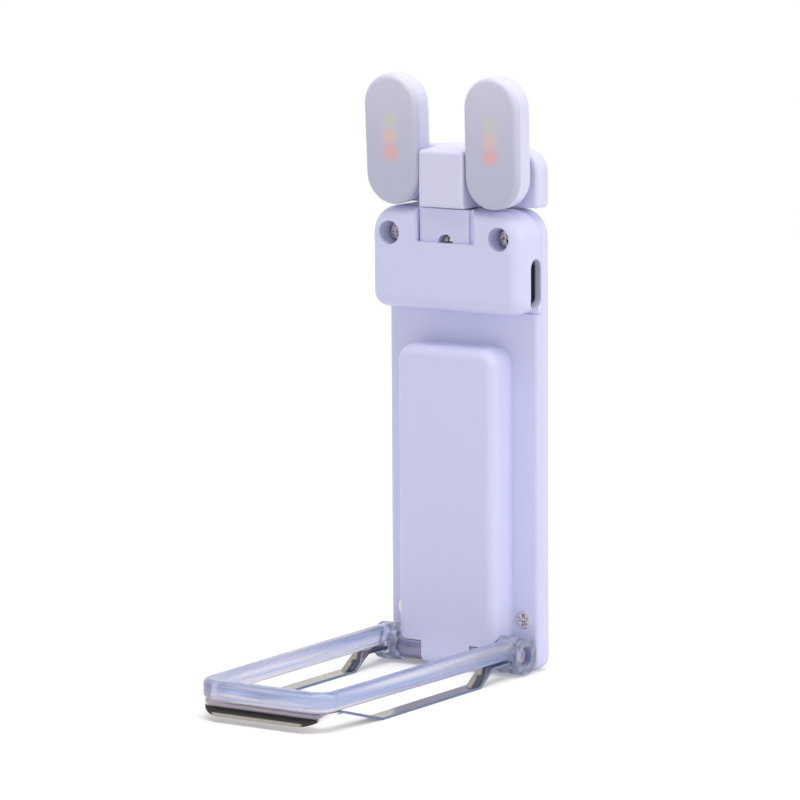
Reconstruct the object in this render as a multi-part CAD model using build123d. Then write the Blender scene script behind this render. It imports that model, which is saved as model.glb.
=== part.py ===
from build123d import *
import os

# Clip-on book light, standing on its opened clip. Millimetres.
# Front view sizes are given as X (right) and Z (up), depths are counted from the rear face to the front.

# Heights of the charging slot and the power button. The case is tall enough for both, and the clip as long as
# the case leaves room for when it is folded.
slot_height = 78.7
button_height = 78.7
slot_drop = 14.5
slot_foot_gap = 0.23
slot_head_gap = 1.23
switch_foot_gap = 0.8

# Clip's hinge and the room for the folded clip
knuckle_radius = 3.75
fold_gap = 0.2
clip_end_gap = 0.7
clip_recess = 7.1

# Case
body_width = 35.6
flange_depth = 4.4
case_depth = 11.5
split_depth = 3.0
shell_wall = 1.4
bottom_corner_radius = 3.0
top_corner_radius = 5.8
rear_edge_radius = 0.8
flange_edge_radius = 1.0
cover_edge_radius = 2.8
cover_corner_extra = 0.4
seam_gap = 0.1
seam_chamfer = 0.15
side_gap = 0.1
running_gap = 0.05
fit_gap = 0.15

# Pad on the front panel, with the battery behind it
pad_side = 6.1
pad_low = 0.7
pad_corner_radius = 3.5
pad_edge_radius = 2.2
battery_thickness = 6.4
battery_side_gap = 0.7
battery_front_gap = 0.4
battery_foot_gap = 4.7
battery_head_gap = 6.6
battery_edge_radius = 1.2
lead_pitch = 1.8
lead_side_gap = 0.2
lead_radius = 0.5
lead_rise = 2.4
lead_bend = 1.2

# Hinge pin, its caps and sleeves, and the notches for them
knuckle_side = 0.5
disc_thickness = 1.5
disc_groove = 0.25
hinge_pin_radius = 1.25
hinge_cap_radius = 1.65
hinge_cap_thickness = 0.7
cap_recess_gap = 0.35
cap_recess_depth = 1.5
sleeve_length = 5.9
sleeve_radius = 3.15
notch_gap = 0.3
notch_ceiling_rise = 1.35
notch_corner_radius = 2.2
knuckle_gap = 0.2

# Clear clip frame
arm_thickness = 3.9
arm_side = 0.6
arm_width = 3.0
arm_outer_taper = 1.4
arm_inner_taper = 0.7
front_bar_width = 3.2
frame_outer_radius = 5.0
frame_inner_radius = 2.6
arm_edge_radius = 1.0

# Metal spring frame
sheet_thickness = 0.5
root_reach = 0.85
root_drop = 0.52
root_bead_radius = 0.42
riser_reach = 10.95
riser_run = 4.7
ramp_foot_back = 17.8
ramp_top_back = 6.8
pinch_back = 2.7
cross_plate_back = 5.3
lip_reach = 0.9
lip_low = 0.85
lip_overrun = 1.2
rail_side = 0.1
rail_width = 3.3
rail_taper = 1.6
lip_corner_radius = 6.1
plate_inner_radius = 1.8
bend_radius = 0.85
gusset_width = 1.1
gusset_rear = 3.0
gusset_peak = 1.2
gusset_front = 2.4
gusset_height = 2.2
pinch_gap = 0.1
bead_gap = 0.08
bead_socket_wall = 0.6
bead_mouth_share = 0.75
bead_mouth_reach = 1.4

# Neck and swivel
neck_half_width = 5.6
neck_shoulder_width = 0.9
neck_notch_drop = 6.85
neck_notch_radius = 1.2
neck_thickness = 6.4
neck_set_back = 0.9
neck_drop = 9.1
swivel_front_wall = 0.6
journal_length = 2.8
post_radius = 2.0
post_bore_radius = 1.1
post_tail = 0.55
post_flange_radius = 3.0
post_flange_thickness = 0.9
ring_thickness = 0.5
ring_groove_depth = 0.4
ring_outer_radius = 2.8
ring_mouth_share = 0.85
swivel_gap = 0.3
swivel_washer_thickness = 0.4
swivel_washer_radius = 4.6
washer_recess = 0.3

# Yoke that carries the two lamps
block_half_width = 5.25
block_overhang = 1.1
block_height = 11.4
block_rise = 0.7
block_edge_radius = 0.8
yoke_height = 11.7
yoke_corner_radius = 4.5
yoke_foot_radius = 1.0
yoke_floor = 2.3
yoke_cavity_front = 7.0
yoke_screw_side = 5.8
yoke_screw_reach = 3.4

# Lamps
lamp_width = 12.5
lamp_length = 26.25
lamp_thickness = 6.2
lamp_gap = 0.45
lamp_side_gap = 0.25
lamp_overhang = 0.8
diffuser_thickness = 1.35
lamp_wall = 1.2
lamp_rear_radius = 2.0
diffuser_rim_height = 0.7
diffuser_rim_wall = 0.7
tilt_pin_radius = 1.05
tilt_pin_gap = 0.3
tilt_boss_radius = 1.5
tilt_boss_length = 3.0
tilt_washer_radius = 2.2
tilt_washer_thickness = 0.15
left_lamp_tilt = 3.0
right_lamp_tilt = 1.5
led_board_thickness = 0.6
led_board_gap = 1.3
led_foot_gap = 0.45
led_pitch = 3.2
led_count = 3
led_size = (2.8, 0.6, 2.0)

# Charging socket and its slot on the right side
slot_end_play = 0.43
slot_side_play = 0.25
slot_rim = 0.25
socket_length = 8.94
socket_width = 3.2
socket_reach = 7.3
socket_shell = 0.3
socket_back_wall = 0.9
socket_set_back = 1.6
tongue_reach = 4.6
tongue_thickness = 0.7
tongue_length = 6.6

# Circuit board, power button and switch
board_thickness = 1.0
board_side_gap = 0.8
board_foot_gap = 0.6
board_top_gap = 0.3
board_corner_radius = 0.8
chip_places = ((-7.1, 0.4, 3.8), (3.0, -0.1, 4.2))
chip_thickness = 1.1
coil_side = 5.6
coil_radius = 1.9
button_radius = 4.0
button_edge_radius = 0.4
button_flange_radius = 4.9
button_flange_thickness = 0.7
button_travel = 0.4
button_gap = 0.2
plunger_radius = 1.7
plunger_length = 0.9
switch_size = 6.0

# Screws
cover_screw_side = 4.8
cover_screw_well_radius = 2.4
cover_screw_head_radius = 2.1
cover_screw_well_depth = 4.5
panel_screw_side = 3.7
panel_screw_height = 10.4
flush_head_radius = 1.9
neck_screw_drop = 6.9
neck_screw_head_radius = 1.6
neck_screw_well_depth = 2.3
small_shank_radius = 0.85
screw_head_height = 1.1
screw_tip_depth = 1.0
tip_gap = 0.2
boss_radius = 2.4
well_wall = 1.0
cross_slot_width = 0.6
cross_slot_depth = 0.7
cross_slot_share = 0.62
overcut = 1.0

# Places that follow from the sizes above
hinge_depth = flange_depth + knuckle_radius + fold_gap
hinge_height = knuckle_radius + fold_gap
socket_foot = slot_height - socket_length / 2 - slot_foot_gap
switch_foot = button_height - switch_size / 2 - switch_foot_gap
housing_low = min(socket_foot, switch_foot) - shell_wall
clip_length = housing_low - hinge_height - clip_end_gap
slot_length = socket_length + 2 * slot_end_play
slot_width = socket_width + 2 * slot_side_play
slot_depth = split_depth + slot_rim + slot_width / 2
higher_place = max(slot_height, button_height)
body_height = higher_place + slot_drop
well_outer_radius = cover_screw_well_radius + well_wall
cover_screw_z = higher_place + socket_length / 2 + slot_head_gap + well_outer_radius
cover_corner_radius = cover_edge_radius + cover_corner_extra
panel_top = housing_low - seam_gap
pad_top = housing_low - clip_recess
half_width = body_width / 2
pad_half_width = half_width - pad_side
knuckle_outer = half_width - knuckle_side
knuckle_inner = pad_half_width + knuckle_gap
hub_half_width = pad_half_width - sleeve_length
notch_radius = sleeve_radius + notch_gap
notch_ceiling = hinge_height + notch_ceiling_rise
pad_floor = hinge_height + notch_radius + shell_wall
battery_low = pad_floor + battery_foot_gap
battery_length = pad_top - shell_wall - battery_head_gap - battery_low
cap_recess_radius = hinge_cap_radius + cap_recess_gap

arm_top = hinge_height + knuckle_radius
arm_low = arm_top - arm_thickness
arm_outer_rear = knuckle_outer - arm_side
arm_outer_front = arm_outer_rear - arm_outer_taper
arm_inner_rear = arm_outer_rear - arm_width
arm_inner_front = arm_inner_rear - arm_inner_taper
frame_front = hinge_depth + clip_length
rail_outer = arm_outer_rear - rail_side
rail_inner = rail_outer - rail_width
lip_half_width = rail_outer - rail_taper
cross_plate_inner = lip_half_width - rail_width
root_depth = hinge_depth + knuckle_radius + root_reach
root_height = arm_low - root_drop
riser_top_depth = hinge_depth + riser_reach
riser_foot_depth = riser_top_depth + riser_run
ramp_foot_depth = frame_front - ramp_foot_back
ramp_top_depth = frame_front - ramp_top_back
pinch_depth = frame_front - pinch_back
cross_plate_rear = frame_front - cross_plate_back
lip_front = frame_front + lip_reach
origin_depth = lip_front / 2

neck_front = case_depth - neck_set_back
neck_shoulder_depth = case_depth - shell_wall
neck_rear = neck_front - neck_thickness
neck_screw_seat = neck_front - neck_screw_well_depth
cover_screw_seat = case_depth - cover_screw_well_depth
neck_notch_half_width = neck_half_width + neck_shoulder_width + fit_gap
ring_pocket_half = ring_outer_radius + 2 * fit_gap
swivel_depth = neck_front - swivel_front_wall - ring_pocket_half
neck_notch_low = body_height - neck_notch_drop
neck_low = body_height - neck_drop
pocket_top = body_height - journal_length
ring_low = pocket_top - fit_gap - ring_thickness
post_low = ring_low - post_tail
pocket_low = post_low - 2 * fit_gap
yoke_low = body_height + swivel_gap
yoke_plate_top = yoke_low + yoke_height
block_front = case_depth + block_overhang
block_front_top = yoke_low + block_height
block_rear_top = block_front_top + block_rise

lamp_low = body_height + lamp_gap
lamp_top = lamp_low + lamp_length
lamp_front = case_depth + lamp_overhang
lamp_rear = lamp_front - lamp_thickness
lamp_inner = block_half_width + lamp_side_gap
lamp_center = lamp_inner + lamp_width / 2
diffuser_rear = lamp_front - diffuser_thickness
diffuser_edge_radius = diffuser_thickness - 2 * seam_chamfer
tilt_depth = (lamp_front + lamp_rear) / 2
tilt_height = lamp_low + lamp_width / 2
led_board_low = tilt_height + tilt_boss_radius + led_board_gap
led_board_rear = diffuser_rear - diffuser_rim_height - fit_gap - led_board_thickness
led_middle = led_board_low + led_foot_gap + (led_size[2] + (led_count - 1) * led_pitch) / 2

socket_mouth = half_width - socket_set_back
socket_root = socket_mouth - socket_reach
lead_outer = socket_root - lead_side_gap - lead_radius
cover_screw_x = half_width - cover_screw_side
panel_screw_x = half_width - panel_screw_side
neck_screw_z = body_height - neck_screw_drop
yoke_screw_x = half_width - yoke_screw_side
board_rear = slot_depth + socket_width / 2
board_front = board_rear + board_thickness
board_low = housing_low + shell_wall + board_foot_gap
board_top = cover_screw_z - well_outer_radius - board_top_gap
board_half_width = half_width - shell_wall - board_side_gap
coil_place = board_half_width - coil_side

SIDE = Plane(origin=(0, 0, 0), x_dir=(0, -1, 0), z_dir=(-1, 0, 0))
PLAN = Plane(origin=(0, 0, 0), x_dir=(1, 0, 0), z_dir=(0, 0, -1))


# Solids drawn in the front view, the side view and the plan view

def slab(face, rear, front):
    return extrude(Plane.XZ.offset(rear) * face, amount=front - rear)


def beam(face, left, right):
    return extrude(SIDE.offset(-right) * face, amount=right - left)


def layer(face, low, high):
    return extrude(PLAN.offset(-high) * face, amount=high - low)


def rod_across(radius, left, right, depth, height):
    return beam(Pos(depth, height) * Circle(radius), left, right)


def rod_forward(radius, rear, front, x, height):
    return slab(Pos(x, height) * Circle(radius), rear, front)


def rod_upward(radius, low, high, x, depth):
    return layer(Pos(x, depth) * Circle(radius), low, high)


def block(x_range, depth_range, height_range):
    width = x_range[1] - x_range[0]
    height = height_range[1] - height_range[0]
    middle = Pos((x_range[0] + x_range[1]) / 2, (height_range[0] + height_range[1]) / 2)
    return slab(middle * Rectangle(width, height), depth_range[0], depth_range[1])


def outline(half, low, high, low_radius, high_radius):
    face = Pos(0, (low + high) / 2) * Rectangle(2 * half, high - low)
    if high_radius > 0:
        face = fillet(face.vertices().group_by(Axis.Y)[-1], high_radius)
    if low_radius > 0:
        face = fillet(face.vertices().group_by(Axis.Y)[0], low_radius)
    return face


def round_front(solid, radius):
    return fillet(solid.edges().group_by(Axis.Y)[0], radius)


def round_rear(solid, radius):
    return fillet(solid.edges().group_by(Axis.Y)[-1], radius)


def soften_seam(solid, at_front, skip=None):
    groups = solid.edges().group_by(Axis.Y)
    edges = groups[0] if at_front else groups[-1]
    if skip is not None:
        edges = edges.sort_by(Axis.Z)[1:] if skip == "low" else edges.sort_by(Axis.Z)[:-1]
    return chamfer(edges, seam_chamfer)


def flared(half, low, high, radius):
    # A slot from low to high whose mouth at high widens by one radius on each side.
    face = Pos(0, (low + high) / 2) * Rectangle(2 * half, high - low)
    for side in (-1, 1):
        corner = Pos(side * half, high) * Rectangle(2 * radius, 2 * radius)
        face += corner - Pos(side * (half + radius), high - radius) * Circle(radius)
    return face


def both_sides(solid):
    return [solid, mirror(solid, about=Plane.YZ)]


def cross_slots(x, height, face_depth, reach):
    depths = (face_depth - cross_slot_depth, face_depth + cross_slot_depth)
    half = cross_slot_width / 2
    across = block((x - reach, x + reach), depths, (height - half, height + half))
    upright = block((x - half, x + half), depths, (height - reach, height + reach))
    return [across, upright]


def pan_screw(x, height, tip, seat, head_radius):
    screw = rod_forward(small_shank_radius, tip, seat, x, height)
    head = rod_forward(head_radius, seat, seat + screw_head_height, x, height)
    head = round_front(head, screw_head_height / 2)
    return (screw + head) - cross_slots(x, height, seat + screw_head_height, head_radius * cross_slot_share)


def flush_screw(x, height, tip, face_depth, forward=True):
    cone = Polyline((0, 0), (small_shank_radius, 0), (flush_head_radius, screw_head_height),
                    (0, screw_head_height), (0, 0))
    head = revolve(Plane.XZ * make_face(cone), axis=Axis.Z)
    turn = 90 if forward else -90
    seat = face_depth - screw_head_height if forward else face_depth + screw_head_height
    head = Pos(x, -seat, height) * Rot(turn, 0, 0) * head
    shank = rod_forward(small_shank_radius, min(tip, seat), max(tip, seat), x, height)
    return shank + head


# Case

def make_back_shell():
    face = outline(half_width, 0, body_height, bottom_corner_radius, top_corner_radius)
    shell = slab(face, 0, split_depth)
    shell = soften_seam(round_rear(shell, rear_edge_radius), at_front=True)
    inner_low_radius = bottom_corner_radius - shell_wall
    inner_top_radius = top_corner_radius - shell_wall
    inside = outline(
        half_width - shell_wall, shell_wall, body_height - shell_wall, inner_low_radius, inner_top_radius)
    shell -= slab(inside, shell_wall, split_depth)
    for side in (-1, 1):
        shell += rod_forward(boss_radius, shell_wall, split_depth, side * panel_screw_x, panel_screw_height)
        shell += rod_forward(
            boss_radius, shell_wall, cover_screw_seat - shell_wall, side * cover_screw_x, cover_screw_z)
    shell += rod_forward(boss_radius, shell_wall, neck_rear, 0, neck_screw_z)
    for x, height in ((-panel_screw_x, panel_screw_height), (panel_screw_x, panel_screw_height),
                      (-cover_screw_x, cover_screw_z), (cover_screw_x, cover_screw_z), (0, neck_screw_z)):
        shell -= rod_forward(small_shank_radius, screw_tip_depth, case_depth, x, height)
    return shell - rod_forward(button_radius + button_gap, -overcut, shell_wall, 0, button_height)


def make_front_panel():
    plate = slab(outline(half_width, 0, panel_top, bottom_corner_radius, 0), split_depth, flange_depth)
    plate = fillet(plate.edges().group_by(Axis.Y)[0].sort_by(Axis.Z)[:-1], flange_edge_radius)
    plate = soften_seam(plate, at_front=False, skip="high")
    pad = slab(outline(pad_half_width, pad_low, pad_top, 0, pad_corner_radius), split_depth, case_depth)
    pad = round_front(pad, pad_edge_radius)
    panel = plate + pad
    notch_face = Pos((hub_half_width + body_width) / 2, (notch_ceiling - body_width) / 2) * Rectangle(
        body_width - hub_half_width, notch_ceiling + body_width)
    corner = Pos(pad_half_width, notch_ceiling) * Rectangle(2 * notch_corner_radius, 2 * notch_corner_radius)
    corner -= Pos(pad_half_width - notch_corner_radius, notch_ceiling + notch_corner_radius) * Circle(
        notch_corner_radius)
    notch = slab(notch_face + corner, flange_depth, case_depth + overcut)
    notch += rod_across(notch_radius, hub_half_width, body_width, hinge_depth, hinge_height)
    for cutter in both_sides(notch):
        panel -= cutter
    inside = outline(pad_half_width - shell_wall, pad_floor, pad_top - shell_wall,
                     pad_corner_radius - shell_wall, pad_corner_radius - shell_wall)
    panel -= slab(inside, split_depth, case_depth - shell_wall)
    panel -= rod_across(hinge_pin_radius, -hub_half_width, hub_half_width, hinge_depth, hinge_height)
    for side in (-1, 1):
        panel -= flush_screw(side * panel_screw_x, panel_screw_height, split_depth - overcut, flange_depth)
    return panel


def make_front_cover():
    face = outline(half_width, housing_low, body_height, cover_corner_radius, top_corner_radius)
    housing = round_front(slab(face, split_depth, case_depth), cover_edge_radius)
    rim = slab(outline(half_width, housing_low, body_height, 0, top_corner_radius), split_depth, flange_depth)
    cover = soften_seam(housing + rim, at_front=False, skip="low")
    inside = outline(half_width - shell_wall, housing_low + shell_wall, body_height - shell_wall,
                     cover_corner_radius - shell_wall, top_corner_radius - shell_wall)
    cover -= round_front(slab(inside, split_depth, case_depth - shell_wall), cover_edge_radius - shell_wall)
    for side in (-1, 1):
        x = side * cover_screw_x
        z = cover_screw_z
        cover += rod_forward(well_outer_radius, cover_screw_seat - shell_wall, case_depth - shell_wall, x, z)
        cover -= rod_forward(cover_screw_well_radius, cover_screw_seat, case_depth + overcut, x, z)
        cover -= rod_forward(small_shank_radius, split_depth, case_depth, x, z)
    notch = flared(neck_notch_half_width, neck_rear - seam_gap, case_depth, neck_notch_radius)
    cover -= layer(notch, neck_notch_low, body_height + overcut)
    slot = Pos(slot_depth, slot_height) * SlotOverall(slot_length, slot_width, rotation=90)
    return cover - beam(slot, half_width - 2 * shell_wall, half_width + overcut)


def make_battery():
    width = 2 * (pad_half_width - shell_wall - battery_side_gap)
    front = case_depth - shell_wall - battery_front_gap
    face = RectangleRounded(width, battery_length, battery_edge_radius)
    face = Pos(0, battery_low + battery_length / 2) * face
    cell = slab(face, front - battery_thickness, front)
    return fillet(cell.edges().filter_by(Axis.Z), battery_edge_radius)


def make_battery_leads():
    cell_top = battery_low + battery_length
    cell_middle = case_depth - shell_wall - battery_front_gap - battery_thickness / 2
    behind = shell_wall + lead_radius + side_gap
    leads = []
    for x in (lead_outer - lead_pitch, lead_outer):
        route = FilletPolyline(
            (x, -cell_middle, cell_top), (x, -cell_middle, cell_top + lead_rise),
            (x, -behind, cell_top + 2 * lead_rise), (x, -behind, board_low),
            (x, -board_rear, board_low + lead_rise), radius=lead_bend)
        start = Plane(origin=(x, -cell_middle, cell_top), z_dir=(0, 0, 1))
        lead = sweep(start * Circle(lead_radius), path=route)
        beyond_board = block((x - overcut, x + overcut), (board_rear, case_depth), (board_low, board_top))
        leads.append(lead - beyond_board)
    return leads


def make_circuit_board():
    face = outline(board_half_width, board_low, board_top, board_corner_radius, board_corner_radius)
    return slab(face, board_rear, board_front)


def make_board_chips():
    chips = [rod_forward(coil_radius, board_front, board_front + chip_thickness, coil_place, slot_height)]
    for x, rise, size in chip_places:
        low = slot_height + rise - size / 2
        chips.append(block((x - size / 2, x + size / 2), (board_front, board_front + chip_thickness),
                           (low, low + size)))
    return chips


def make_socket():
    outer = Pos(slot_depth, slot_height) * SlotOverall(socket_length, socket_width, rotation=90)
    inner = Pos(slot_depth, slot_height) * SlotOverall(
        socket_length - 2 * socket_shell, socket_width - 2 * socket_shell, rotation=90)
    shell = beam(outer, socket_root, socket_mouth)
    return shell - beam(inner, socket_root + socket_back_wall, socket_mouth)


def make_socket_tongue():
    root = socket_root + socket_back_wall
    return block((root, root + tongue_reach),
                 (slot_depth - tongue_thickness / 2, slot_depth + tongue_thickness / 2),
                 (slot_height - tongue_length / 2, slot_height + tongue_length / 2))


def make_power_button():
    flange_rear = shell_wall + side_gap
    cap = round_rear(rod_forward(button_radius, 0, flange_rear, 0, button_height), button_edge_radius)
    return cap + rod_forward(
        button_flange_radius, flange_rear, flange_rear + button_flange_thickness, 0, button_height)


def make_switch_plunger():
    rear = shell_wall + side_gap + button_flange_thickness
    return rod_forward(plunger_radius, rear, rear + plunger_length, 0, button_height)


def make_switch_body():
    rear = shell_wall + 2 * side_gap + button_flange_thickness + button_travel
    half = switch_size / 2
    body = block((-half, half), (rear, board_rear), (button_height - half, button_height + half))
    pocket_front = rear + plunger_length + side_gap
    return body - rod_forward(plunger_radius + side_gap, rear, pocket_front, 0, button_height)


# Neck and swivel

def make_neck_block():
    foot_front = case_depth - shell_wall - seam_gap
    shoulder_half = neck_notch_half_width - fit_gap
    neck = block((-neck_half_width, neck_half_width), (neck_rear, neck_front), (neck_notch_low, body_height))
    neck += block((-shoulder_half, shoulder_half), (neck_rear, neck_shoulder_depth),
                  (neck_notch_low, body_height))
    neck += block((-neck_half_width, neck_half_width), (neck_rear, foot_front), (neck_low, neck_notch_low))
    neck -= block((-ring_pocket_half, ring_pocket_half), (0, swivel_depth + ring_pocket_half),
                  (pocket_low, pocket_top))
    neck -= rod_upward(post_radius + running_gap, pocket_low, body_height + overcut, 0, swivel_depth)
    neck -= rod_forward(small_shank_radius, 0, case_depth, 0, neck_screw_z)
    return neck - rod_forward(neck_screw_head_radius + fit_gap, neck_screw_seat, case_depth, 0, neck_screw_z)


def make_swivel_post():
    flange_low = yoke_low + yoke_floor
    post = rod_upward(post_radius, post_low, flange_low, 0, swivel_depth)
    post += rod_upward(post_flange_radius, flange_low, flange_low + post_flange_thickness, 0, swivel_depth)
    groove = rod_upward(post_radius + overcut, ring_low, ring_low + ring_thickness, 0, swivel_depth)
    groove -= rod_upward(post_radius - ring_groove_depth, ring_low, ring_low + ring_thickness,
                         0, swivel_depth)
    post -= groove
    return post - rod_upward(post_bore_radius, post_low - overcut, flange_low + yoke_height, 0, swivel_depth)


def make_swivel_ring():
    ring_top = ring_low + ring_thickness
    ring = rod_upward(ring_outer_radius, ring_low, ring_top, 0, swivel_depth)
    ring -= rod_upward(post_radius - ring_groove_depth, ring_low, ring_top, 0, swivel_depth)
    mouth = (post_radius - ring_groove_depth) * ring_mouth_share
    mouth_depths = (swivel_depth - ring_outer_radius - overcut, swivel_depth - mouth / 2)
    return ring - block((-mouth, mouth), mouth_depths, (ring_low, ring_top))


def make_swivel_washer():
    top = body_height + swivel_washer_thickness
    washer = rod_upward(swivel_washer_radius, body_height, top, 0, swivel_depth)
    hole = rod_upward(post_radius + 2 * running_gap, body_height, top, 0, swivel_depth)
    return (washer - hole) & block((-half_width, half_width), (neck_rear, neck_front), (body_height, top))


# Yoke

def make_yoke():
    plate_face = outline(half_width, yoke_low, yoke_plate_top, yoke_foot_radius, yoke_corner_radius)
    plate = round_front(slab(plate_face, shell_wall, flange_depth), flange_edge_radius)
    plate = soften_seam(plate, at_front=False)
    side_face = make_face(Polyline(
        (shell_wall, yoke_low), (block_front, yoke_low), (block_front, block_front_top),
        (shell_wall, block_rear_top), (shell_wall, yoke_low)))
    middle = beam(side_face, -block_half_width, block_half_width)
    top_edges = middle.edges().filter_by(
        lambda edge: edge.center().Z > block_front_top - block_edge_radius
        and abs(edge.center().X) > seam_gap)
    middle = fillet(middle.edges().group_by(Axis.Y)[0] + top_edges, block_edge_radius)
    yoke = plate + middle
    inside = outline(half_width - shell_wall, yoke_low + shell_wall, yoke_plate_top - shell_wall,
                     0, yoke_corner_radius - shell_wall)
    yoke -= slab(inside, shell_wall, flange_depth - shell_wall)
    for side in (-1, 1):
        yoke += rod_forward(boss_radius, shell_wall, flange_depth - flange_edge_radius / 2,
                            side * yoke_screw_x, tilt_height)
    cavity_half = block_half_width - shell_wall
    floor = yoke_low + yoke_floor
    yoke -= block((-cavity_half, cavity_half), (shell_wall, yoke_cavity_front),
                  (floor, block_front_top - shell_wall))
    flange_half = post_flange_radius + fit_gap
    yoke -= block((-flange_half, flange_half), (shell_wall, swivel_depth + flange_half),
                  (floor, floor + post_flange_thickness + fit_gap))
    yoke -= rod_upward(post_radius, yoke_low - overcut, floor, 0, swivel_depth)
    yoke -= rod_upward(swivel_washer_radius + fit_gap, yoke_low - overcut, yoke_low + washer_recess,
                       0, swivel_depth)
    yoke -= rod_across(tilt_pin_radius + running_gap, -block_half_width, block_half_width,
                       tilt_depth, tilt_height)
    for side in (-1, 1):
        yoke -= rod_forward(small_shank_radius, 0, yoke_screw_reach, side * yoke_screw_x, tilt_height)
    return yoke


def make_yoke_cover():
    face = outline(half_width, yoke_low, yoke_plate_top, yoke_foot_radius, yoke_corner_radius)
    cover = soften_seam(round_rear(slab(face, 0, shell_wall), rear_edge_radius), at_front=True)
    for side in (-1, 1):
        cover -= flush_screw(side * yoke_screw_x, tilt_height, yoke_screw_reach, 0, forward=False)
    return cover


# Lamps, drawn upright on the right side and then tilted or mirrored

def lamp_face(inset):
    width = lamp_width - 2 * inset
    length = lamp_length - 2 * inset
    return Pos(lamp_center, lamp_low + lamp_length / 2) * SlotOverall(length, width, rotation=90)


def make_lamp_shell():
    shell = round_rear(slab(lamp_face(0), lamp_rear, diffuser_rear), lamp_rear_radius)
    shell = soften_seam(shell, at_front=True)
    shell -= slab(lamp_face(lamp_wall), lamp_rear + lamp_wall, diffuser_rear)
    boss_end = lamp_inner + tilt_boss_length
    shell += rod_across(tilt_boss_radius, lamp_inner + lamp_wall / 2, boss_end, tilt_depth, tilt_height)
    return shell - rod_across(tilt_pin_radius, lamp_inner - overcut, boss_end, tilt_depth, tilt_height)


def make_lamp_diffuser():
    plate = round_front(slab(lamp_face(0), diffuser_rear, lamp_front), diffuser_edge_radius)
    plate = soften_seam(plate, at_front=False)
    rim_inset = lamp_wall + fit_gap
    rim_rear = diffuser_rear - diffuser_rim_height
    rim = slab(lamp_face(rim_inset), rim_rear, diffuser_rear)
    rim -= slab(lamp_face(rim_inset + diffuser_rim_wall), rim_rear, diffuser_rear)
    boss_zone = tilt_boss_radius + fit_gap
    rim -= block((0, lamp_inner + tilt_boss_length + fit_gap), (rim_rear, diffuser_rear),
                 (tilt_height - boss_zone, tilt_height + boss_zone))
    return plate + rim


def make_led_board():
    board = slab(lamp_face(lamp_wall + fit_gap), led_board_rear, led_board_rear + led_board_thickness)
    keep = block((0, body_width), (led_board_rear, diffuser_rear), (led_board_low, lamp_top))
    return board & keep


def make_leds():
    rear = led_board_rear + led_board_thickness
    width, thickness, height = led_size
    chips = []
    for count in range(led_count):
        middle = led_middle + (count - (led_count - 1) / 2) * led_pitch
        chips.append(block((lamp_center - width / 2, lamp_center + width / 2), (rear, rear + thickness),
                           (middle - height / 2, middle + height / 2)))
    return chips


def make_tilt_pin():
    end = lamp_inner + tilt_boss_length
    return rod_across(tilt_pin_radius, tilt_pin_gap, end, tilt_depth, tilt_height)


def make_tilt_washer():
    start = lamp_inner - tilt_washer_thickness
    washer = rod_across(tilt_washer_radius, start, lamp_inner, tilt_depth, tilt_height)
    return washer - rod_across(tilt_pin_radius, start, lamp_inner, tilt_depth, tilt_height)


def tilted(solid, angle, on_left):
    if on_left:
        solid = mirror(solid, about=Plane.YZ)
    pivot = Pos(0, -tilt_depth, tilt_height)
    return pivot * Rot(angle, 0, 0) * Pos(0, tilt_depth, -tilt_height) * solid


# Clip

def make_hinge_pin():
    end = knuckle_outer - cap_recess_depth + seam_gap
    return rod_across(hinge_pin_radius, -end, end, hinge_depth, hinge_height)


def make_hinge_caps():
    start = knuckle_outer - cap_recess_depth + seam_gap
    cap = rod_across(hinge_cap_radius, start, start + hinge_cap_thickness, hinge_depth, hinge_height)
    cap = fillet(cap.edges().group_by(Axis.X)[-1], hinge_cap_thickness / 2)
    return both_sides(cap)


def make_hinge_sleeves():
    start = hub_half_width + side_gap
    end = pad_half_width
    sleeve = rod_across(sleeve_radius, start, end, hinge_depth, hinge_height)
    sleeve = chamfer(sleeve.edges(), seam_chamfer)
    sleeve -= rod_across(hinge_pin_radius, start, end, hinge_depth, hinge_height)
    return both_sides(sleeve)


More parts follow.
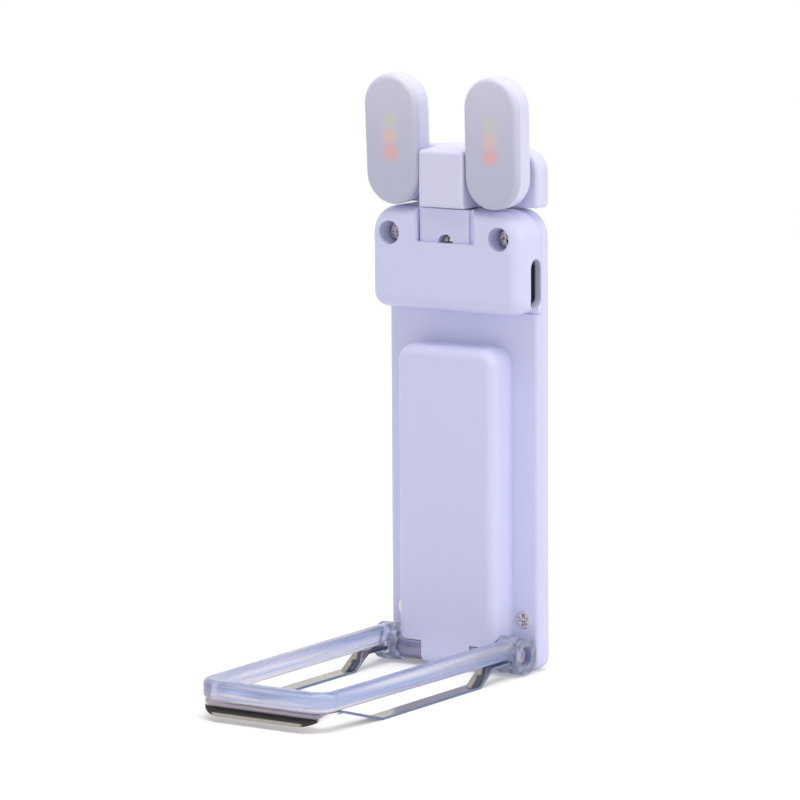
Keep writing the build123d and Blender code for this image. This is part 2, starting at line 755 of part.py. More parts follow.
def make_clip_frame():
    outer = make_face(Polyline(
        (-arm_outer_rear, hinge_depth), (-arm_outer_front, frame_front), (arm_outer_front, frame_front),
        (arm_outer_rear, hinge_depth), (-arm_outer_rear, hinge_depth)))
    outer = fillet(outer.vertices().group_by(Axis.Y)[-1], frame_outer_radius)
    bar_rear = frame_front - front_bar_width
    inner = make_face(Polyline(
        (-arm_inner_rear, 0), (-arm_inner_front, bar_rear), (arm_inner_front, bar_rear),
        (arm_inner_rear, 0), (-arm_inner_rear, 0)))
    inner = fillet(inner.vertices().group_by(Axis.Y)[-1], frame_inner_radius)
    frame = layer(outer - inner, arm_low, arm_top)
    long_edges = frame.edges().group_by(Axis.Z)[-1] + frame.edges().group_by(Axis.Z)[0]
    long_edges = long_edges.filter_by(lambda edge: edge.center().Y < -hinge_depth - running_gap)
    frame = fillet(long_edges, arm_edge_radius)
    knuckle = rod_across(knuckle_radius, knuckle_inner, knuckle_outer, hinge_depth, hinge_height)
    groove_start = knuckle_outer - disc_thickness - disc_groove
    groove = rod_across(knuckle_radius + overcut, groove_start, groove_start + disc_groove,
                        hinge_depth, hinge_height)
    groove -= rod_across(knuckle_radius - disc_groove, groove_start, groove_start + disc_groove,
                         hinge_depth, hinge_height)
    knuckle -= groove
    bead_hole = root_bead_radius + bead_gap
    socket_half = bead_hole + bead_socket_wall
    socket_depths = (root_depth - socket_half - bead_socket_wall, root_depth + bead_hole)
    socket_heights = (root_height - socket_half, arm_low + arm_edge_radius)
    socket = block((rail_inner, rail_outer), socket_depths, socket_heights)
    for lug in both_sides(knuckle + socket):
        frame += lug
    mouth_half = bead_hole * bead_mouth_share
    for side in (-1, 1):
        ends = sorted((side * (rail_inner - overcut), side * (rail_outer + overcut)))
        frame -= rod_across(bead_hole, ends[0], ends[1], root_depth, root_height)
        frame -= block(ends, (root_depth, root_depth + bead_mouth_reach),
                       (root_height - mouth_half, root_height + mouth_half))
    frame -= rod_across(hinge_pin_radius + running_gap, -half_width, half_width, hinge_depth, hinge_height)
    recess = rod_across(
        cap_recess_radius, knuckle_outer - cap_recess_depth, half_width, hinge_depth, hinge_height)
    for cutter in both_sides(recess):
        frame -= cutter
    return frame


def make_spring_frame():
    middle_low = sheet_thickness / 2
    pinch_height = arm_low - pinch_gap - sheet_thickness / 2
    route = FilletPolyline(
        (root_depth, root_height), (riser_top_depth, root_height), (riser_foot_depth, middle_low),
        (ramp_foot_depth, middle_low), (ramp_top_depth, pinch_height), (pinch_depth, pinch_height),
        (lip_front + lip_overrun, lip_low), radius=bend_radius)
    sheet = beam(trace(route, line_width=sheet_thickness), -rail_outer, rail_outer)
    outer = make_face(Polyline(
        (-rail_outer, root_depth), (-rail_outer, ramp_foot_depth), (-lip_half_width, ramp_top_depth),
        (-lip_half_width, lip_front), (lip_half_width, lip_front), (lip_half_width, ramp_top_depth),
        (rail_outer, ramp_foot_depth), (rail_outer, root_depth), (-rail_outer, root_depth)))
    outer = fillet(outer.vertices().group_by(Axis.Y)[-1], lip_corner_radius)
    inner = make_face(Polyline(
        (-rail_inner, 0), (-rail_inner, ramp_foot_depth), (-cross_plate_inner, ramp_top_depth),
        (-cross_plate_inner, cross_plate_rear), (cross_plate_inner, cross_plate_rear),
        (cross_plate_inner, ramp_top_depth), (rail_inner, ramp_foot_depth), (rail_inner, 0),
        (-rail_inner, 0)))
    frame = sheet & layer(outer - inner, -overcut, arm_top)
    bead = rod_across(root_bead_radius, rail_inner, rail_outer, root_depth, root_height)
    riser_slope = (root_height - middle_low) / riser_run
    rib = make_face(Polyline(
        (riser_foot_depth, middle_low),
        (riser_foot_depth - gusset_rear, middle_low + gusset_rear * riser_slope),
        (riser_foot_depth - gusset_peak, middle_low + gusset_height),
        (riser_foot_depth + gusset_front, middle_low), (riser_foot_depth, middle_low)))
    rib_middle = (rail_inner + rail_outer) / 2
    rib = beam(rib, rib_middle - gusset_width / 2, rib_middle + gusset_width / 2)
    for end in both_sides(bead) + both_sides(rib):
        frame += end
    return frame


# Screws

def make_cover_screws():
    tip = screw_tip_depth + tip_gap
    return [pan_screw(side * cover_screw_x, cover_screw_z, tip, cover_screw_seat, cover_screw_head_radius)
            for side in (-1, 1)]


def make_panel_screws():
    screws = []
    for side in (-1, 1):
        x = side * panel_screw_x
        screw = flush_screw(x, panel_screw_height, screw_tip_depth + tip_gap, flange_depth)
        slots = cross_slots(x, panel_screw_height, flange_depth, flush_head_radius * cross_slot_share)
        screws.append(screw - slots)
    return screws


def make_neck_screw():
    return pan_screw(0, neck_screw_z, screw_tip_depth + tip_gap, neck_screw_seat, neck_screw_head_radius)


def make_yoke_screws():
    screws = []
    for side in (-1, 1):
        x = side * yoke_screw_x
        screw = flush_screw(x, tilt_height, yoke_screw_reach - tip_gap, 0, forward=False)
        screws.append(screw - cross_slots(x, tilt_height, 0, flush_head_radius * cross_slot_share))
    return screws


def save(name, shape):
    solids = shape if isinstance(shape, list) else [shape]
    moved = [Pos(0, origin_depth, 0) * solid for solid in solids]
    export_step(Compound(children=moved) if len(moved) > 1 else moved[0], f"parts/{name}.step")


os.makedirs("parts", exist_ok=True)

pieces = {
    "back_shell": make_back_shell(),
    "front_panel": make_front_panel(),
    "front_cover": make_front_cover(),
    "battery": make_battery(),
    "battery_leads": make_battery_leads(),
    "circuit_board": make_circuit_board(),
    "board_chips": make_board_chips(),
    "charging_socket": make_socket(),
    "socket_tongue": make_socket_tongue(),
    "switch_body": make_switch_body(),
    "switch_plunger": make_switch_plunger(),
    "power_button": make_power_button(),
    "cover_screws": make_cover_screws(),
    "panel_screws": make_panel_screws(),
    "neck_block": make_neck_block(),
    "neck_screw": make_neck_screw(),
    "swivel_washer": make_swivel_washer(),
    "swivel_post": make_swivel_post(),
    "swivel_ring": make_swivel_ring(),
    "yoke": make_yoke(),
    "yoke_cover": make_yoke_cover(),
    "yoke_screws": make_yoke_screws(),
    "hinge_pin": make_hinge_pin(),
    "hinge_caps": make_hinge_caps(),
    "hinge_sleeves": make_hinge_sleeves(),
    "clip_frame": make_clip_frame(),
    "spring_frame": make_spring_frame(),
}

lamp_makers = {
    "lamp_shell": make_lamp_shell,
    "lamp_diffuser": make_lamp_diffuser,
    "led_board": make_led_board,
    "leds": make_leds,
    "tilt_pin": make_tilt_pin,
    "tilt_washer": make_tilt_washer,
}

for side_name, angle in (("left", left_lamp_tilt), ("right", right_lamp_tilt)):
    for name, maker in lamp_makers.items():
        made = maker()
        solids = made if isinstance(made, list) else [made]
        pieces[f"{name}_{side_name}"] = [tilted(solid, angle, side_name == "left") for solid in solids]

for name, shape in pieces.items():
    save(name, shape)
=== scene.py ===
import bpy
import math
from mathutils import Matrix, Vector


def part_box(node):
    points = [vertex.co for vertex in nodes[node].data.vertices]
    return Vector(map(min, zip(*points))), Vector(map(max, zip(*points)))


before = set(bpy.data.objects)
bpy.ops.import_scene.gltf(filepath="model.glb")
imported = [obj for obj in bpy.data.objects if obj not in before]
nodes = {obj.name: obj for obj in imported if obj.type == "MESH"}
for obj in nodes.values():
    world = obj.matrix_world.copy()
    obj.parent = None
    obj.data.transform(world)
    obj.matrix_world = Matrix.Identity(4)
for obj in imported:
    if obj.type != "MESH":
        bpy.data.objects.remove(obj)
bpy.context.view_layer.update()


# Case: back shell, front panel, front cover and neck block. All are injection moulded in one pale lavender
# ABS with a fine satin spark texture, and the three case parts are screwed together along a fine seam.

def new_group(name, inputs, outputs):
    group = bpy.data.node_groups.new(name, "ShaderNodeTree")
    for socket_name, kind, value in inputs:
        socket = group.interface.new_socket(socket_name, in_out="INPUT", socket_type=kind)
        socket.default_value = value
    for socket_name, kind in outputs:
        group.interface.new_socket(socket_name, in_out="OUTPUT", socket_type=kind)
    return group, group.nodes.new("NodeGroupInput"), group.nodes.new("NodeGroupOutput")


def feed(tree, socket, value):
    if isinstance(value, (int, float, tuple)):
        socket.default_value = value
    else:
        tree.links.new(value, socket)


def math_node(tree, operation, first, second=None):
    node = tree.nodes.new("ShaderNodeMath")
    node.operation = operation
    feed(tree, node.inputs[0], first)
    if second is not None:
        feed(tree, node.inputs[1], second)
    return node.outputs[0]


def vector_node(tree, operation, first, second):
    node = tree.nodes.new("ShaderNodeVectorMath")
    node.operation = operation
    feed(tree, node.inputs[0], first)
    feed(tree, node.inputs[1], second)
    return node.outputs["Value" if operation == "DOT_PRODUCT" else "Vector"]


def spread(tree, value, low, high):
    node = tree.nodes.new("ShaderNodeMapRange")
    tree.links.new(value, node.inputs["Value"])
    feed(tree, node.inputs["To Min"], low)
    feed(tree, node.inputs["To Max"], high)
    return node.outputs["Result"]


def noise_node(tree, place, scale, detail):
    node = tree.nodes.new("ShaderNodeTexNoise")
    tree.links.new(place, node.inputs["Vector"])
    feed(tree, node.inputs["Scale"], scale)
    node.inputs["Detail"].default_value = detail
    return node.outputs["Fac"]


def mix_colors(tree, factor, first, second):
    node = tree.nodes.new("ShaderNodeMix")
    node.data_type = "RGBA"
    feed(tree, node.inputs["Factor"], factor)
    feed(tree, node.inputs[6], first)
    feed(tree, node.inputs[7], second)
    return node.outputs[2]


def object_place(tree):
    return tree.nodes.new("ShaderNodeTexCoord").outputs["Object"]


def rounded_normal(tree, radius):
    node = tree.nodes.new("ShaderNodeBevel")
    node.samples = 4
    node.inputs["Radius"].default_value = radius
    return node.outputs["Normal"]


moulded_skin, skin_in, skin_out = new_group(
    "moulded_skin",
    [("Color", "NodeSocketColor", (0.8, 0.8, 0.9, 1)), ("Edge Color", "NodeSocketColor", (0.9, 0.9, 1, 1)),
     ("Cloud", "NodeSocketFloat", 60.0), ("Grain", "NodeSocketFloat", 4000.0),
     ("Low Roughness", "NodeSocketFloat", 0.3), ("High Roughness", "NodeSocketFloat", 0.38)],
    [("Color", "NodeSocketColor"), ("Roughness", "NodeSocketFloat"), ("Height", "NodeSocketFloat")])
# Rounded edges turn towards the Edge Color: rubbed wear, and on the pale shells and diffusers also a painted
# edge highlight.
pale_edge_radius = 0.00035
pale_edge_gain = 2.5
pale_edge_share = 0.6
cloud_share = 0.06
cloud_tone = (0.62, 0.62, 0.72, 1)
cloud_detail = 2.0
grain_detail = 4.0
skin_place = object_place(moulded_skin)
skin_cloud = noise_node(moulded_skin, skin_place, skin_in.outputs["Cloud"], cloud_detail)
skin_grain = noise_node(moulded_skin, skin_place, skin_in.outputs["Grain"], grain_detail)
skin_rounded = rounded_normal(moulded_skin, pale_edge_radius)
skin_normal = moulded_skin.nodes.new("ShaderNodeNewGeometry").outputs["Normal"]
skin_turn = vector_node(moulded_skin, "DOT_PRODUCT", skin_rounded, skin_normal)
wear_and_highlight_edge = math_node(moulded_skin, "SUBTRACT", 1.0, skin_turn)
wear_and_highlight_edge = math_node(moulded_skin, "MULTIPLY", wear_and_highlight_edge, pale_edge_gain)
wear_and_highlight_edge = math_node(moulded_skin, "MINIMUM", wear_and_highlight_edge, 1.0)
wear_and_highlight_edge = math_node(moulded_skin, "MULTIPLY", wear_and_highlight_edge, pale_edge_share)
skin_cloud = spread(moulded_skin, skin_cloud, 0.0, cloud_share)
skin_shade = mix_colors(moulded_skin, skin_cloud, skin_in.outputs["Color"], cloud_tone)
skin_shade = mix_colors(moulded_skin, wear_and_highlight_edge, skin_shade, skin_in.outputs["Edge Color"])
skin_rough = spread(
    moulded_skin, skin_grain, skin_in.outputs["Low Roughness"], skin_in.outputs["High Roughness"])
moulded_skin.links.new(skin_shade, skin_out.inputs["Color"])
moulded_skin.links.new(skin_rough, skin_out.inputs["Roughness"])
moulded_skin.links.new(skin_grain, skin_out.inputs["Height"])


def shader_of(material):
    return material.node_tree.nodes["Principled BSDF"]


def new_material(name):
    material = bpy.data.materials.new(name)
    material.use_nodes = True
    return material, material.node_tree, shader_of(material)


def add_group(tree, group, **values):
    node = tree.nodes.new("ShaderNodeGroup")
    node.node_tree = group
    for name, value in values.items():
        node.inputs[name.replace("_", " ")].default_value = value
    return node


def add_bump(tree, shader, height, strength, distance, soften):
    bump = tree.nodes.new("ShaderNodeBump")
    bump.inputs["Strength"].default_value = strength
    bump.inputs["Distance"].default_value = distance
    tree.links.new(height, bump.inputs["Height"])
    tree.links.new(rounded_normal(tree, soften), bump.inputs["Normal"])
    tree.links.new(bump.outputs["Normal"], shader.inputs["Normal"])


roughness_below = 0.03
roughness_above = 0.05


def moulded_plastic(name, color, edge_color, roughness, grain, depth, soften):
    material, tree, shader = new_material(name)
    skin = add_group(tree, moulded_skin, Color=color, Edge_Color=edge_color, Grain=grain,
                     Low_Roughness=roughness - roughness_below, High_Roughness=roughness + roughness_above)
    tree.links.new(skin.outputs["Color"], shader.inputs["Base Color"])
    tree.links.new(skin.outputs["Roughness"], shader.inputs["Roughness"])
    add_bump(tree, shader, skin.outputs["Height"], strength=0.25, distance=depth, soften=soften)
    return material


def shell_plastic(name, color, edge_color):
    material = moulded_plastic(
        name, color, edge_color, roughness=0.36, grain=5200.0, depth=0.000012, soften=0.00022)
    shader = shader_of(material)
    shader.inputs["IOR"].default_value = 1.5
    shader.inputs["Subsurface Weight"].default_value = 0.08
    shader.inputs["Subsurface Radius"].default_value = (0.0010, 0.0009, 0.0013)
    shader.inputs["Sheen Weight"].default_value = 0.15
    return material


def dress(material, *names):
    for name in names:
        mesh = nodes[name].data
        mesh.materials.clear()
        mesh.materials.append(material)


case_plastic = shell_plastic("case_plastic", color=(0.685, 0.69, 0.94, 1), edge_color=(0.90, 0.87, 0.97, 1))
dress(case_plastic, "back_shell", "front_panel", "front_cover", "neck_block")


# Head: the yoke with its rear cover, and the two lamp shells. The same ABS, given a paler tone as painted
# light, since the head stands highest and takes more light from above. The yoke turns on the neck, and each
# shell tilts on its own pin.
head_plastic_lit = shell_plastic("head_plastic_lit", color=(0.715, 0.71, 0.905, 1), edge_color=(0.92, 0.89, 0.96, 1))
dress(head_plastic_lit, "yoke", "yoke_cover", "lamp_shell_left", "lamp_shell_right")


# Power button: a small round cap in the back shell, moulded in ABS a little greyer than the case, with a matt
# spark-eroded face, so that a thumb finds it. Its plunger below is natural nylon.
button_plastic = moulded_plastic(
    "button_plastic", color=(0.66, 0.67, 0.83, 1), edge_color=(0.8, 0.8, 0.92, 1),
    roughness=0.5, grain=3200.0, depth=0.00003, soften=0.0002)
dress(button_plastic, "power_button")
nylon = moulded_plastic(
    "natural_nylon", color=(0.82, 0.81, 0.76, 1), edge_color=(0.88, 0.88, 0.84, 1),
    roughness=0.45, grain=4000.0, depth=0.00001, soften=0.0001)
dress(nylon, "switch_plunger")


# Circuit boards with the chips, the switch and the charging socket's tongue: glass fibre board under green
# solder mask, and black moulded epoxy parts, all soldered on.
solder_mask = moulded_plastic(
    "solder_mask", color=(0.03, 0.17, 0.08, 1), edge_color=(0.35, 0.32, 0.18, 1),
    roughness=0.3, grain=2600.0, depth=0.00001, soften=0.0001)
dress(solder_mask, "circuit_board", "led_board_left", "led_board_right")
black_epoxy = moulded_plastic(
    "black_epoxy", color=(0.018, 0.018, 0.02, 1), edge_color=(0.06, 0.06, 0.065, 1),
    roughness=0.42, grain=3600.0, depth=0.00002, soften=0.0001)
dress(black_epoxy, "board_chips", "switch_body", "socket_tongue")


# Battery: a flat pouch cell in aluminium laminate, held behind the pad. Its two wires are covered in red
# silicone and soldered on.
pouch_foil = moulded_plastic(
    "pouch_foil", color=(0.7, 0.71, 0.73, 1), edge_color=(0.85, 0.85, 0.86, 1),
    roughness=0.3, grain=900.0, depth=0.00006, soften=0.0003)
shader_of(pouch_foil).inputs["Metallic"].default_value = 0.85
dress(pouch_foil, "battery")
red_silicone = moulded_plastic(
    "red_silicone", color=(0.42, 0.03, 0.03, 1), edge_color=(0.5, 0.08, 0.08, 1),
    roughness=0.5, grain=3000.0, depth=0.00001, soften=0.0001)
dress(red_silicone, "battery_leads")


# Screws, pins, the swivel's post and the tilt washers: turned steel with a nickel plate, in fine turning
# marks and dark specks of wear. The swivel's ring is spring steel and gets the same finish.
def clamped(tree, value):
    return math_node(tree, "MINIMUM", math_node(tree, "MAXIMUM", value, 0.0), 1.0)


def rising(tree, value, start, gain):
    return clamped(tree, math_node(tree, "MULTIPLY", math_node(tree, "SUBTRACT", value, start), gain))


turned_metal, turned_in, turned_out = new_group(
    "turned_metal",
    [("Color", "NodeSocketColor", (0.7, 0.69, 0.67, 1)),
     ("Dark Color", "NodeSocketColor", (0.4, 0.38, 0.36, 1)),
     ("Stretch X", "NodeSocketFloat", 300.0), ("Stretch Y", "NodeSocketFloat", 300.0),
     ("Stretch Z", "NodeSocketFloat", 300.0), ("Roughness", "NodeSocketFloat", 0.2),
     ("Smudge", "NodeSocketFloat", 160.0), ("Smudge Share", "NodeSocketFloat", 0.2)],
    [("Color", "NodeSocketColor"), ("Roughness", "NodeSocketFloat"), ("Height", "NodeSocketFloat")])
smudge_start = 0.49
smudge_gain = 8.0
smudge_detail = 3.0
line_detail = 5.0
smooth_line = 0.7
rough_line = 1.35
turned_place = object_place(turned_metal)
turned_scale = turned_metal.nodes.new("ShaderNodeCombineXYZ")
for axis in "XYZ":
    turned_metal.links.new(turned_in.outputs["Stretch " + axis], turned_scale.inputs[axis])
turned_stretch = vector_node(turned_metal, "MULTIPLY", turned_place, turned_scale.outputs["Vector"])
turned_lines = noise_node(turned_metal, turned_stretch, 1.0, line_detail)
turned_smudge = noise_node(turned_metal, turned_place, turned_in.outputs["Smudge"], smudge_detail)
turned_smudge = rising(turned_metal, turned_smudge, smudge_start, smudge_gain)
turned_smudge = math_node(turned_metal, "MULTIPLY", turned_smudge, turned_in.outputs["Smudge Share"])
turned_shade = mix_colors(
    turned_metal, turned_smudge, turned_in.outputs["Color"], turned_in.outputs["Dark Color"])
turned_rough = math_node(turned_metal, "MULTIPLY", turned_in.outputs["Roughness"],
                         spread(turned_metal, turned_lines, smooth_line, rough_line))
turned_metal.links.new(turned_shade, turned_out.inputs["Color"])
turned_metal.links.new(turned_rough, turned_out.inputs["Roughness"])
turned_metal.links.new(turned_lines, turned_out.inputs["Height"])


def metal(name, color, dark, stretch, roughness, depth, smudge=160.0, smudge_share=0.2):
    material, tree, shader = new_material(name)
    finish = add_group(tree, turned_metal, Color=color, Dark_Color=dark, Roughness=roughness,
                       Stretch_X=stretch[0], Stretch_Y=stretch[1], Stretch_Z=stretch[2],
                       Smudge=smudge, Smudge_Share=smudge_share)
    shader.inputs["Metallic"].default_value = 1.0
    tree.links.new(finish.outputs["Color"], shader.inputs["Base Color"])
    tree.links.new(finish.outputs["Roughness"], shader.inputs["Roughness"])
    add_bump(tree, shader, finish.outputs["Height"], strength=0.3, distance=depth, soften=0.00012)
    return material


nickel_finish = {
    "color": (0.80, 0.75, 0.74, 1), "dark": (0.10, 0.08, 0.07, 1), "stretch": (2600.0, 700.0, 2600.0),
    "roughness": 0.24, "depth": 0.000012, "smudge": 1900.0}
nickel = metal("nickel_plate", **nickel_finish, smudge_share=0.9)
dress(nickel, "cover_screws", "neck_screw", "yoke_screws", "swivel_post", "swivel_ring", "hinge_pin",
      "tilt_pin_left", "tilt_pin_right", "tilt_washer_left", "tilt_washer_right")


# Panel screws: the two flush screws at the foot of the panel. Nickel plated like the others, dark and
# speckled round the cross and plainer and paler towards the rim.
def parts_of(tree, vector):
    node = tree.nodes.new("ShaderNodeSeparateXYZ")
    tree.links.new(vector, node.inputs[0])
    return node.outputs


rim_tone = (0.66, 0.62, 0.67, 1)
rim_start = 0.58
rim_gain = 8
rim_nickel = metal("rim_nickel", **nickel_finish, smudge_share=1.0)
rim_tree = rim_nickel.node_tree
rim_base = shader_of(rim_nickel).inputs["Base Color"]
screw_low, screw_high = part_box("panel_screws")
screw_radius = (screw_high.z - screw_low.z) / 2
rim_place = parts_of(rim_tree, object_place(rim_tree))
rim_aside = math_node(rim_tree, "ABSOLUTE", rim_place["X"])
rim_aside = math_node(rim_tree, "SUBTRACT", rim_aside, screw_high.x - screw_radius)
rim_above = math_node(rim_tree, "SUBTRACT", rim_place["Z"], (screw_low.z + screw_high.z) / 2)
rim_away = math_node(rim_tree, "ADD", math_node(rim_tree, "MULTIPLY", rim_aside, rim_aside),
                     math_node(rim_tree, "MULTIPLY", rim_above, rim_above))
rim_away = math_node(rim_tree, "SQRT", rim_away)
rim_share = rising(rim_tree, rim_away, rim_start * screw_radius, rim_gain / screw_radius)
rim_color = mix_colors(rim_tree, rim_share, rim_base.links[0].from_socket, rim_tone)
rim_tree.links.new(rim_color, rim_base)
dress(rim_nickel, "panel_screws")


# Charging socket: a drawn steel shell, nickel plated, coloured near black as painted shade for the slot it
# sits in. It is soldered to the board and set back behind the slot in the case.
socket_shade_steel = metal(
    "socket_shade_steel", color=(0.07, 0.07, 0.075, 1), dark=(0.03, 0.03, 0.035, 1),
    stretch=(700.0, 2600.0, 2600.0), roughness=0.35, depth=0.000006)
dress(socket_shade_steel, "charging_socket")


# Swivel washer: a ring of black acetal between the neck and the yoke, which turn against each other.
# Its black stands in as painted shade, and makes the gap under the head look dark.
black_acetal_gap_shade = moulded_plastic(
    "black_acetal_gap_shade", color=(0.02, 0.02, 0.023, 1), edge_color=(0.05, 0.05, 0.055, 1),
    roughness=0.4, grain=3600.0, depth=0.00001, soften=0.0001)
dress(black_acetal_gap_shade, "swivel_washer")


# Hinge sleeves and the pin's caps: turned steel with a nickel plate, darker and bluer than the screws. The
# sleeves sit on the hinge pin in the panel's two notches, and the caps in the knuckles' outer faces.
sleeve_steel = metal(
    "sleeve_steel", color=(0.29, 0.275, 0.40, 1), dark=(0.12, 0.11, 0.15, 1),
    stretch=(2600.0, 900.0, 2600.0), roughness=0.24, depth=0.000006)
dress(sleeve_steel, "hinge_sleeves", "hinge_caps")


# Clip's upper frame: a U in clear polycarbonate, moulded in one piece with the two hinge knuckles. It turns
# on the hinge pin, and its front bar presses the pages onto the metal lip.
# Its colour is a slight lavender tint with blue and pale streaks painted in as reflections, finer near the
# knuckles.
streak_stretch = (40.0, 18.0, 1300.0)
streak_detail = 3.0
streak_start = 0.36
streak_gain = 4.0
streak_reflection_tones = ((0.33, 0.43, 0.74, 1), (0.86, 0.83, 0.90, 1))
knuckle_reach = 0.009
knuckle_gain = 400.0
knuckle_scale = 700.0
scuff_scale = 900.0
scuff_detail = 4.0
scuff_roughness = (0.1, 0.24)
clear_plastic, clear_tree, clear_shader = new_material("clear_polycarbonate")
clear_shader.inputs["Transmission Weight"].default_value = 0.72
clear_shader.inputs["IOR"].default_value = 1.49
clear_place = object_place(clear_tree)
clear_streaks = noise_node(
    clear_tree, vector_node(clear_tree, "MULTIPLY", clear_place, streak_stretch), 1.0, streak_detail)
knuckle_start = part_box("clip_frame")[1].y - knuckle_reach
knuckle_share = rising(clear_tree, parts_of(clear_tree, clear_place)["Y"], knuckle_start, knuckle_gain)
knuckle_ripple = noise_node(clear_tree, clear_place, knuckle_scale, streak_detail)
clear_streaks = spread(clear_tree, knuckle_share, clear_streaks, knuckle_ripple)
clear_contrast = rising(clear_tree, clear_streaks, streak_start, streak_gain)
tint_and_streak_reflections = mix_colors(clear_tree, clear_contrast, *streak_reflection_tones)
clear_tree.links.new(tint_and_streak_reflections, clear_shader.inputs["Base Color"])
clear_scuffs = noise_node(clear_tree, clear_place, scuff_scale, scuff_detail)
clear_rough = spread(clear_tree, clear_scuffs, *scuff_roughness)
clear_tree.links.new(clear_rough, clear_shader.inputs["Roughness"])
add_bump(clear_tree, clear_shader, clear_streaks, strength=0.5, distance=0.00008, soften=0.0004)
dress(clear_plastic, "clip_frame")


# Clip's lower frame: spring steel sheet, half a millimetre thick, blanked, bent and polished. It shows long
# grinding lines along the rails, blue-grey painted reflections on the cut edges, and painted reflections
# along the lip: a dark band between paler ones.
curl_width = 0.0042
curl_height = 0.0003
edge_reflection_tone = (0.17, 0.21, 0.32, 1)
edge_gain = 3.0
lip_span = 0.008
lip_end = 0.8
lip_gain = 8.0
lip_reflection_tones = ((0.0, (0.36, 0.32, 0.29)), (0.010, (0.40, 0.36, 0.32)), (0.035, (0.045, 0.04, 0.042)),
             (0.20, (0.05, 0.043, 0.042)), (0.26, (0.80, 0.70, 0.64)), (0.66, (0.90, 0.82, 0.75)))
spring_steel = metal(
    "polished_spring_steel", color=(0.37, 0.34, 0.31, 1), dark=(0.22, 0.20, 0.19, 1),
    stretch=(2400.0, 90.0, 2400.0), roughness=0.14, depth=0.000004)
steel_tree = spring_steel.node_tree
steel_shader = shader_of(spring_steel)
steel_place = parts_of(steel_tree, object_place(steel_tree))
lip_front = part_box("spring_frame")[0].y


def lip_way(reach):
    way = math_node(steel_tree, "SUBTRACT", steel_place["Y"], lip_front)
    return math_node(steel_tree, "DIVIDE", way, reach)


curl_share = clamped(steel_tree, lip_way(curl_width))
lip_curl = math_node(steel_tree, "SINE", math_node(steel_tree, "MULTIPLY", curl_share, math.pi))
curl_bump = steel_tree.nodes.new("ShaderNodeBump")
curl_bump.inputs["Strength"].default_value = 1.0
curl_bump.inputs["Distance"].default_value = curl_height
steel_tree.links.new(lip_curl, curl_bump.inputs["Height"])
steel_bump = steel_shader.inputs["Normal"].links[0].from_node
steel_tree.links.new(steel_bump.inputs["Normal"].links[0].from_socket, curl_bump.inputs["Normal"])
steel_tree.links.new(curl_bump.outputs["Normal"], steel_bump.inputs["Normal"])
# Faces standing upright, the sheet's cut edges, get a blue-grey painted reflection.
steel_turn = parts_of(steel_tree, steel_tree.nodes.new("ShaderNodeTexCoord").outputs["Normal"])
edge_reflection_share = math_node(steel_tree, "ABSOLUTE", steel_turn["Z"])
edge_reflection_share = math_node(steel_tree, "MINIMUM", math_node(steel_tree, "MULTIPLY", edge_reflection_share, edge_gain), 1.0)
edge_reflection_share = math_node(steel_tree, "SUBTRACT", 1.0, edge_reflection_share)
steel_color = steel_shader.inputs["Base Color"].links[0].from_socket
steel_color = mix_colors(steel_tree, edge_reflection_share, steel_color, edge_reflection_tone)
# Painted reflections along the lip: pale at the front edge, then a dark band, then champagne further back.
lip_reflection_bands = steel_tree.nodes.new("ShaderNodeValToRGB")
lip_stops = lip_reflection_bands.color_ramp.elements
while len(lip_stops) < len(lip_reflection_tones):
    lip_stops.new(0.5)
for stop, (reach, tone) in zip(lip_stops, lip_reflection_tones):
    stop.position = reach
    stop.color = (*tone, 1)
lip_depth = lip_way(lip_span)
steel_tree.links.new(lip_depth, lip_reflection_bands.inputs["Fac"])
lip_reflection_share = math_node(steel_tree, "SUBTRACT", lip_end, lip_depth)
lip_reflection_share = clamped(steel_tree, math_node(steel_tree, "MULTIPLY", lip_reflection_share, lip_gain))
steel_color = mix_colors(steel_tree, lip_reflection_share, steel_color, lip_reflection_bands.outputs["Color"])
steel_tree.links.new(steel_color, steel_shader.inputs["Base Color"])
dress(spring_steel, "spring_frame")


# Lamp fronts: satin grey-lavender diffusers snapped onto the lamp shells, paler towards the top as painted
# light from above. The three chips behind each show through as soft painted glows: yellow above, orange in
# the middle, pink at the foot.
chip_glow_tones = ((0.90, 0.42, 0.40, 1), (0.82, 0.56, 0.46, 1), (0.64, 0.65, 0.54, 1))
chip_reach = {"X": 0.0017, "Z": 0.0016}
chip_spacing = 0.38
chip_corner = 2.6
chip_strength = 0.75
painted_top_light_tone = (0.69, 0.67, 0.80, 1)
top_light_rise = 2.2


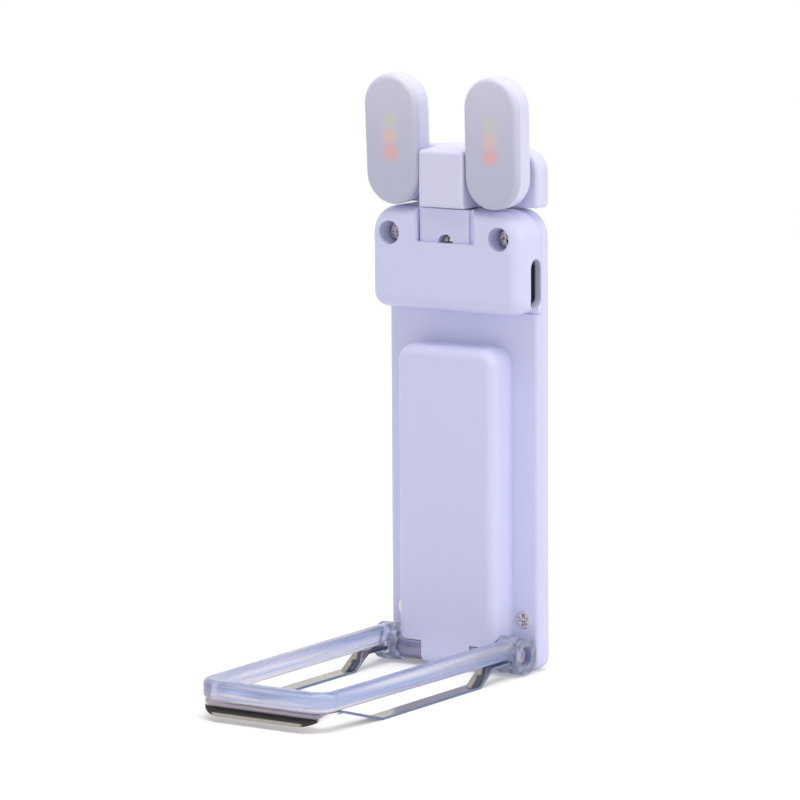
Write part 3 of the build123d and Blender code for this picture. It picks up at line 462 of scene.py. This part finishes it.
def diffuser_plastic(side):
    material, tree, shader = new_material("diffuser_" + side)
    skin = add_group(tree, moulded_skin, Color=(0.54, 0.54, 0.695, 1), Edge_Color=(0.82, 0.81, 0.91, 1),
                     Grain=5200.0, Low_Roughness=0.42, High_Roughness=0.5)
    chip_low, chip_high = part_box("leds_" + side)
    chip_middle = (chip_low + chip_high) / 2
    chip_step = (chip_high.z - chip_low.z) * chip_spacing
    place = object_place(tree)
    face_low, face_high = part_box("lamp_diffuser_" + side)
    rise = math_node(tree, "SUBTRACT", parts_of(tree, place)["Z"], face_low.z)
    rise = math_node(tree, "DIVIDE", math_node(tree, "MAXIMUM", rise, 0.0), face_high.z - face_low.z)
    rise = math_node(tree, "MINIMUM", math_node(tree, "POWER", rise, top_light_rise), 1.0)
    color = mix_colors(tree, rise, skin.outputs["Color"], painted_top_light_tone)
    # Each chip is painted in as a soft glowing spot on the diffuser.
    for index, tint in enumerate(chip_glow_tones):
        chip_place = (chip_middle.x, chip_middle.y, chip_middle.z + (index - 1) * chip_step)
        away = parts_of(tree, vector_node(tree, "SUBTRACT", place, chip_place))
        shares = []
        for axis, reach in chip_reach.items():
            share = math_node(tree, "DIVIDE", math_node(tree, "ABSOLUTE", away[axis]), reach)
            shares.append(math_node(tree, "POWER", share, chip_corner))
        glow = math_node(tree, "MULTIPLY", math_node(tree, "ADD", *shares), -1.0)
        glow = math_node(tree, "MULTIPLY", math_node(tree, "EXPONENT", glow), chip_strength)
        color = mix_colors(tree, glow, color, tint)
    tree.links.new(color, shader.inputs["Base Color"])
    tree.links.new(skin.outputs["Roughness"], shader.inputs["Roughness"])
    add_bump(tree, shader, skin.outputs["Height"], strength=0.2, distance=0.00001, soften=0.0002)
    return material


for side in ("left", "right"):
    dress(diffuser_plastic(side), "lamp_diffuser_" + side)


# Light chips: small white ceramic bodies with a cast phosphor face. Three of them are soldered to the board
# of each lamp.
phosphor = moulded_plastic(
    "phosphor_chip", color=(0.9, 0.7, 0.25, 1), edge_color=(0.9, 0.9, 0.86, 1),
    roughness=0.35, grain=2600.0, depth=0.00002, soften=0.0002)
dress(phosphor, "leds_left", "leds_right")


# Floor: one broad white sheet. To the camera, in reflections and through clear plastic it is lifted to
# white, by little enough that the object's soft shadow stays on it. It lights the object only by its paint.
def seen_directly(tree):
    rays = tree.nodes.new("ShaderNodeLightPath").outputs
    mirrored = math_node(tree, "MAXIMUM", rays["Is Glossy Ray"], rays["Is Transmission Ray"])
    return math_node(tree, "MAXIMUM", rays["Is Camera Ray"], mirrored)


floor_size = 1.4
floor_tone = (0.8, 0.8, 0.8, 1)
floor_lift = (0.2, 0.75)
half = floor_size / 2
floor_corners = [(-half, -half, 0), (half, -half, 0), (half, half, 0), (-half, half, 0)]
floor_mesh = bpy.data.meshes.new("floor")
floor_mesh.from_pydata(floor_corners, [], [(0, 1, 2, 3)])
floor = bpy.data.objects.new("floor", floor_mesh)
bpy.context.scene.collection.objects.link(floor)
floor_paint, floor_tree, floor_shader = new_material("floor_paint")
floor_shader.inputs["Base Color"].default_value = floor_tone
floor_shader.inputs["Roughness"].default_value = 0.9
floor_shader.inputs["Emission Color"].default_value = (1, 1, 1, 1)
floor_away = floor_tree.nodes.new("ShaderNodeVectorMath")
floor_away.operation = "LENGTH"
floor_tree.links.new(object_place(floor_tree), floor_away.inputs[0])
floor_glow = math_node(floor_tree, "MULTIPLY", seen_directly(floor_tree),
                       spread(floor_tree, floor_away.outputs["Value"], *floor_lift))
floor_tree.links.new(floor_glow, floor_shader.inputs["Emission Strength"])
floor_mesh.materials.append(floor_paint)


# World: even white to the camera, in reflections and through clear plastic, and half of that for the light
# that it gives.
world_light = 0.5
world_white = 1.0
world = bpy.data.worlds.new("studio")
bpy.context.scene.world = world
world.use_nodes = True
world_tree = world.node_tree
world_shade = world_tree.nodes["Background"]
world_shade.inputs["Color"].default_value = (1, 1, 1, 1)
world_strength = spread(world_tree, seen_directly(world_tree), world_light, world_white)
world_tree.links.new(world_strength, world_shade.inputs["Strength"])


# Lights: a broad one above, a second on the right and a weak one in front. All are large discs, so the
# shadows stay soft.
light_target = Vector((0.0, 0.0, 0.055))


def soft_light(name, place, size, power):
    light = bpy.data.lights.new(name, "AREA")
    light.shape = "DISK"
    light.size = size
    light.energy = power
    lamp = bpy.data.objects.new(name, light)
    lamp.location = place
    aim = light_target - Vector(place)
    lamp.rotation_euler = aim.to_track_quat("-Z", "Y").to_euler()
    bpy.context.scene.collection.objects.link(lamp)


soft_light("top_light", place=(0.1, -0.1, 1.1), size=0.9, power=7.5)
soft_light("right_light", place=(1.1, 0.1, 0.5), size=0.7, power=3.6)
soft_light("front_light", place=(0.1, -1.3, 0.5), size=0.7, power=1.2)


# Camera: at the photograph's own angle, from the front right and a little above. A long lens keeps the edges
# nearly parallel, as they are in the photograph.
camera_place = (0.53005, -0.77918, 0.19672)
camera_azimuth = math.radians(33.84)
camera_drop = math.radians(8.36)
camera_roll = math.radians(-0.35)
camera_data = bpy.data.cameras.new("photo_camera")
camera_data.lens = 219.6
camera_data.sensor_width = 36.0
camera_data.clip_end = 20.0
camera = bpy.data.objects.new("photo_camera", camera_data)
ahead = Vector((-math.sin(camera_azimuth) * math.cos(camera_drop),
                math.cos(camera_azimuth) * math.cos(camera_drop), -math.sin(camera_drop)))
right = Vector((math.cos(camera_azimuth), math.sin(camera_azimuth), 0))
upward = right.cross(ahead)
rolled_right = right * math.cos(camera_roll) + upward * math.sin(camera_roll)
rolled_up = upward * math.cos(camera_roll) - right * math.sin(camera_roll)
camera_turn = Matrix((rolled_right, rolled_up, -ahead)).transposed()
camera.matrix_world = Matrix.Translation(camera_place) @ camera_turn.to_4x4()
bpy.context.scene.collection.objects.link(camera)
bpy.context.scene.camera = camera
bpy.context.scene.view_settings.view_transform = "Standard"
